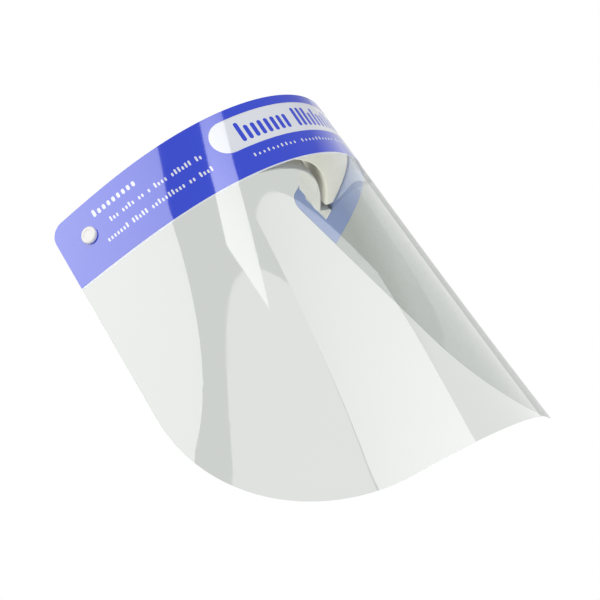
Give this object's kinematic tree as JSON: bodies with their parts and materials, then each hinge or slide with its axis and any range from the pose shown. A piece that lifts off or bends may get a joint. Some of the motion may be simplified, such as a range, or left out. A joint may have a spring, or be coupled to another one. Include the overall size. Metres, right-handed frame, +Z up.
{
  "type": "face shield",
  "caption": "Disposable face shield: a clear curved sheet with rounded lower corners, a printed blue header band, a foam brow pad and an elastic strap on snaps.",
  "frame": {"origin": "middle of the foam pad's rear face, where the forehead rests", "axes": "+X to the wearer's left, -Y to the front, +Z up"},
  "size_m": [0.2452, 0.1112, 0.22],
  "materials": {
    "clear_sheet": "clear polished PET film",
    "white_ink": "glossy white ink",
    "blue_ink": "glossy blue ink",
    "tape": "translucent white film",
    "foam": "fine open-cell foam",
    "elastic": "woven elastic",
    "snap_plastic": "moulded white plastic"
  },
  "bodies": {
    "visor": {"visor_sheet": "clear_sheet", "header_base_white": "white_ink", "header_band_blue": "blue_ink", "foam_tape": "tape", "foam_pad": "foam", "strap_end_left": "elastic", "strap_end_right": "elastic", "snap_cap_left": "snap_plastic", "snap_cap_right": "snap_plastic", "snap_socket_left": "snap_plastic", "snap_socket_right": "snap_plastic"},
    "strap": {"strap_loop": "elastic"}
  },
  "joints": [
    {"name": "strap_swing", "type": "hinge", "parent": "visor", "child": "strap", "pos_m": [0, 0.06201, -0.0041], "axis": [1, 0, 0], "range_deg": [-60, 180], "deforming": ["strap_end_left", "strap_end_right"]}
  ]
}
